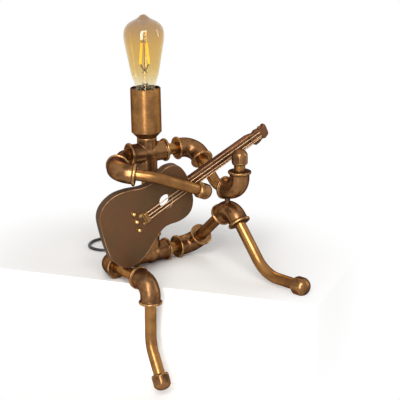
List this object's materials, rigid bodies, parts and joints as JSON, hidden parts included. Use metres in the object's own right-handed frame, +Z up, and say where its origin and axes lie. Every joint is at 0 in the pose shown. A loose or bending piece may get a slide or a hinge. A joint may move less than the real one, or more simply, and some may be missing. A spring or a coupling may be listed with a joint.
{
  "type": "table lamp",
  "caption": "Seated pipe-fitting figure playing a guitar, one leg hanging over the edge, with a bare filament bulb in a cup as its head and a mains cord.",
  "frame": {"origin": "on the seat plane, straight under the middle of the pelvis tee", "axes": "+Z up, the figure faces -Y, its left side is +X"},
  "size_m": [0.2993, 0.4613, 0.5557],
  "materials": {
    "cast_bronze": "aged bronze paint on rough cast iron, rubbed bright on the edges",
    "tube_bronze": "aged bronze paint on smooth steel tube, satin",
    "guitar_brown": "dark bronze-brown paint on a flat board, satin",
    "neck_bronze": "dark bronze paint on steel, satin",
    "ball_brass": "polished",
    "string_steel": "bare wire, darkened",
    "nut_steel": "plain",
    "bulb_amber": "clear amber glass",
    "stem_glass": "clear glass",
    "filament_yellow": "yellow phosphor coating",
    "wire_metal": "bare wire",
    "cap_brass": "rolled sheet",
    "contact_metal": "bare metal",
    "holder_black": "moulded, matte",
    "shell_brass": "rolled sheet",
    "cord_black": "smooth black flex",
    "grommet_black": "matte",
    "tie_black": "woven strap",
    "plug_black": "moulded",
    "pin_metal": "plated"
  },
  "bodies": {
    "figure": {"pelvis_tee": "cast_bronze", "chest_cross": "cast_bronze", "head_cup": "tube_bronze", "torso_pipe": "tube_bronze", "cord_grommet": "grommet_black", "holder_body": "holder_black", "holder_shell": "shell_brass", "holder_contact": "contact_metal", "left_hip_nipple": "tube_bronze", "left_hip_elbow": "cast_bronze", "left_thigh_tube": "tube_bronze", "left_knee_elbow": "cast_bronze", "left_shin_tube": "tube_bronze", "left_foot_cap": "cast_bronze", "right_hip_nipple": "tube_bronze", "right_hip_elbow": "cast_bronze", "right_thigh_tube": "tube_bronze", "right_knee_elbow": "cast_bronze", "left_shoulder_nipple": "tube_bronze", "left_shoulder_elbow": "cast_bronze", "left_arm_tube": "tube_bronze", "left_hand_elbow": "cast_bronze", "left_hand_nipple": "tube_bronze", "left_hand_cap": "cast_bronze", "left_hand_weld": "cast_bronze", "guitar_body": "guitar_brown", "guitar_neck": "neck_bronze", "guitar_head": "neck_bronze", "guitar_neck_rod": "neck_bronze", "guitar_bridge": "neck_bronze", "guitar_bridge_nuts": "nut_steel", "guitar_nut_bar": "neck_bronze", "guitar_strings": "string_steel", "guitar_balls": "ball_brass", "cord_lead": "cord_black", "cord_coil": "cord_black", "coil_tie": "tie_black", "plug_body": "plug_black", "plug_pins": "pin_metal"},
    "right_arm": {"right_shoulder_nipple": "tube_bronze", "right_shoulder_elbow": "cast_bronze", "right_forearm_tube": "tube_bronze", "right_hand_cap": "cast_bronze"},
    "right_shin": {"right_shin_tube": "tube_bronze", "right_foot_cap": "cast_bronze"},
    "bulb": {"bulb_cap": "cap_brass", "bulb_contact": "contact_metal", "bulb_glass": "bulb_amber", "bulb_stem": "stem_glass", "bulb_filaments": "filament_yellow", "bulb_wires": "wire_metal"}
  },
  "joints": [
    {"name": "bulb_turn", "type": "hinge", "parent": "figure", "child": "bulb", "pos_m": [0, 0.00604, 0.18489], "axis": [0, 0.0363, 0.9993], "continuous": true},
    {"name": "right_arm_lift", "type": "hinge", "parent": "figure", "child": "right_arm", "pos_m": [0, 0.00604, 0.18489], "axis": [-0.9914, 0.1305, 0], "range_deg": [0, 60]},
    {"name": "right_shin_swivel", "type": "hinge", "parent": "figure", "child": "right_shin", "pos_m": [-0.0846, -0.1239, 0.0185], "axis": [0, 0, 1], "range_deg": [-40, 40]}
  ]
}
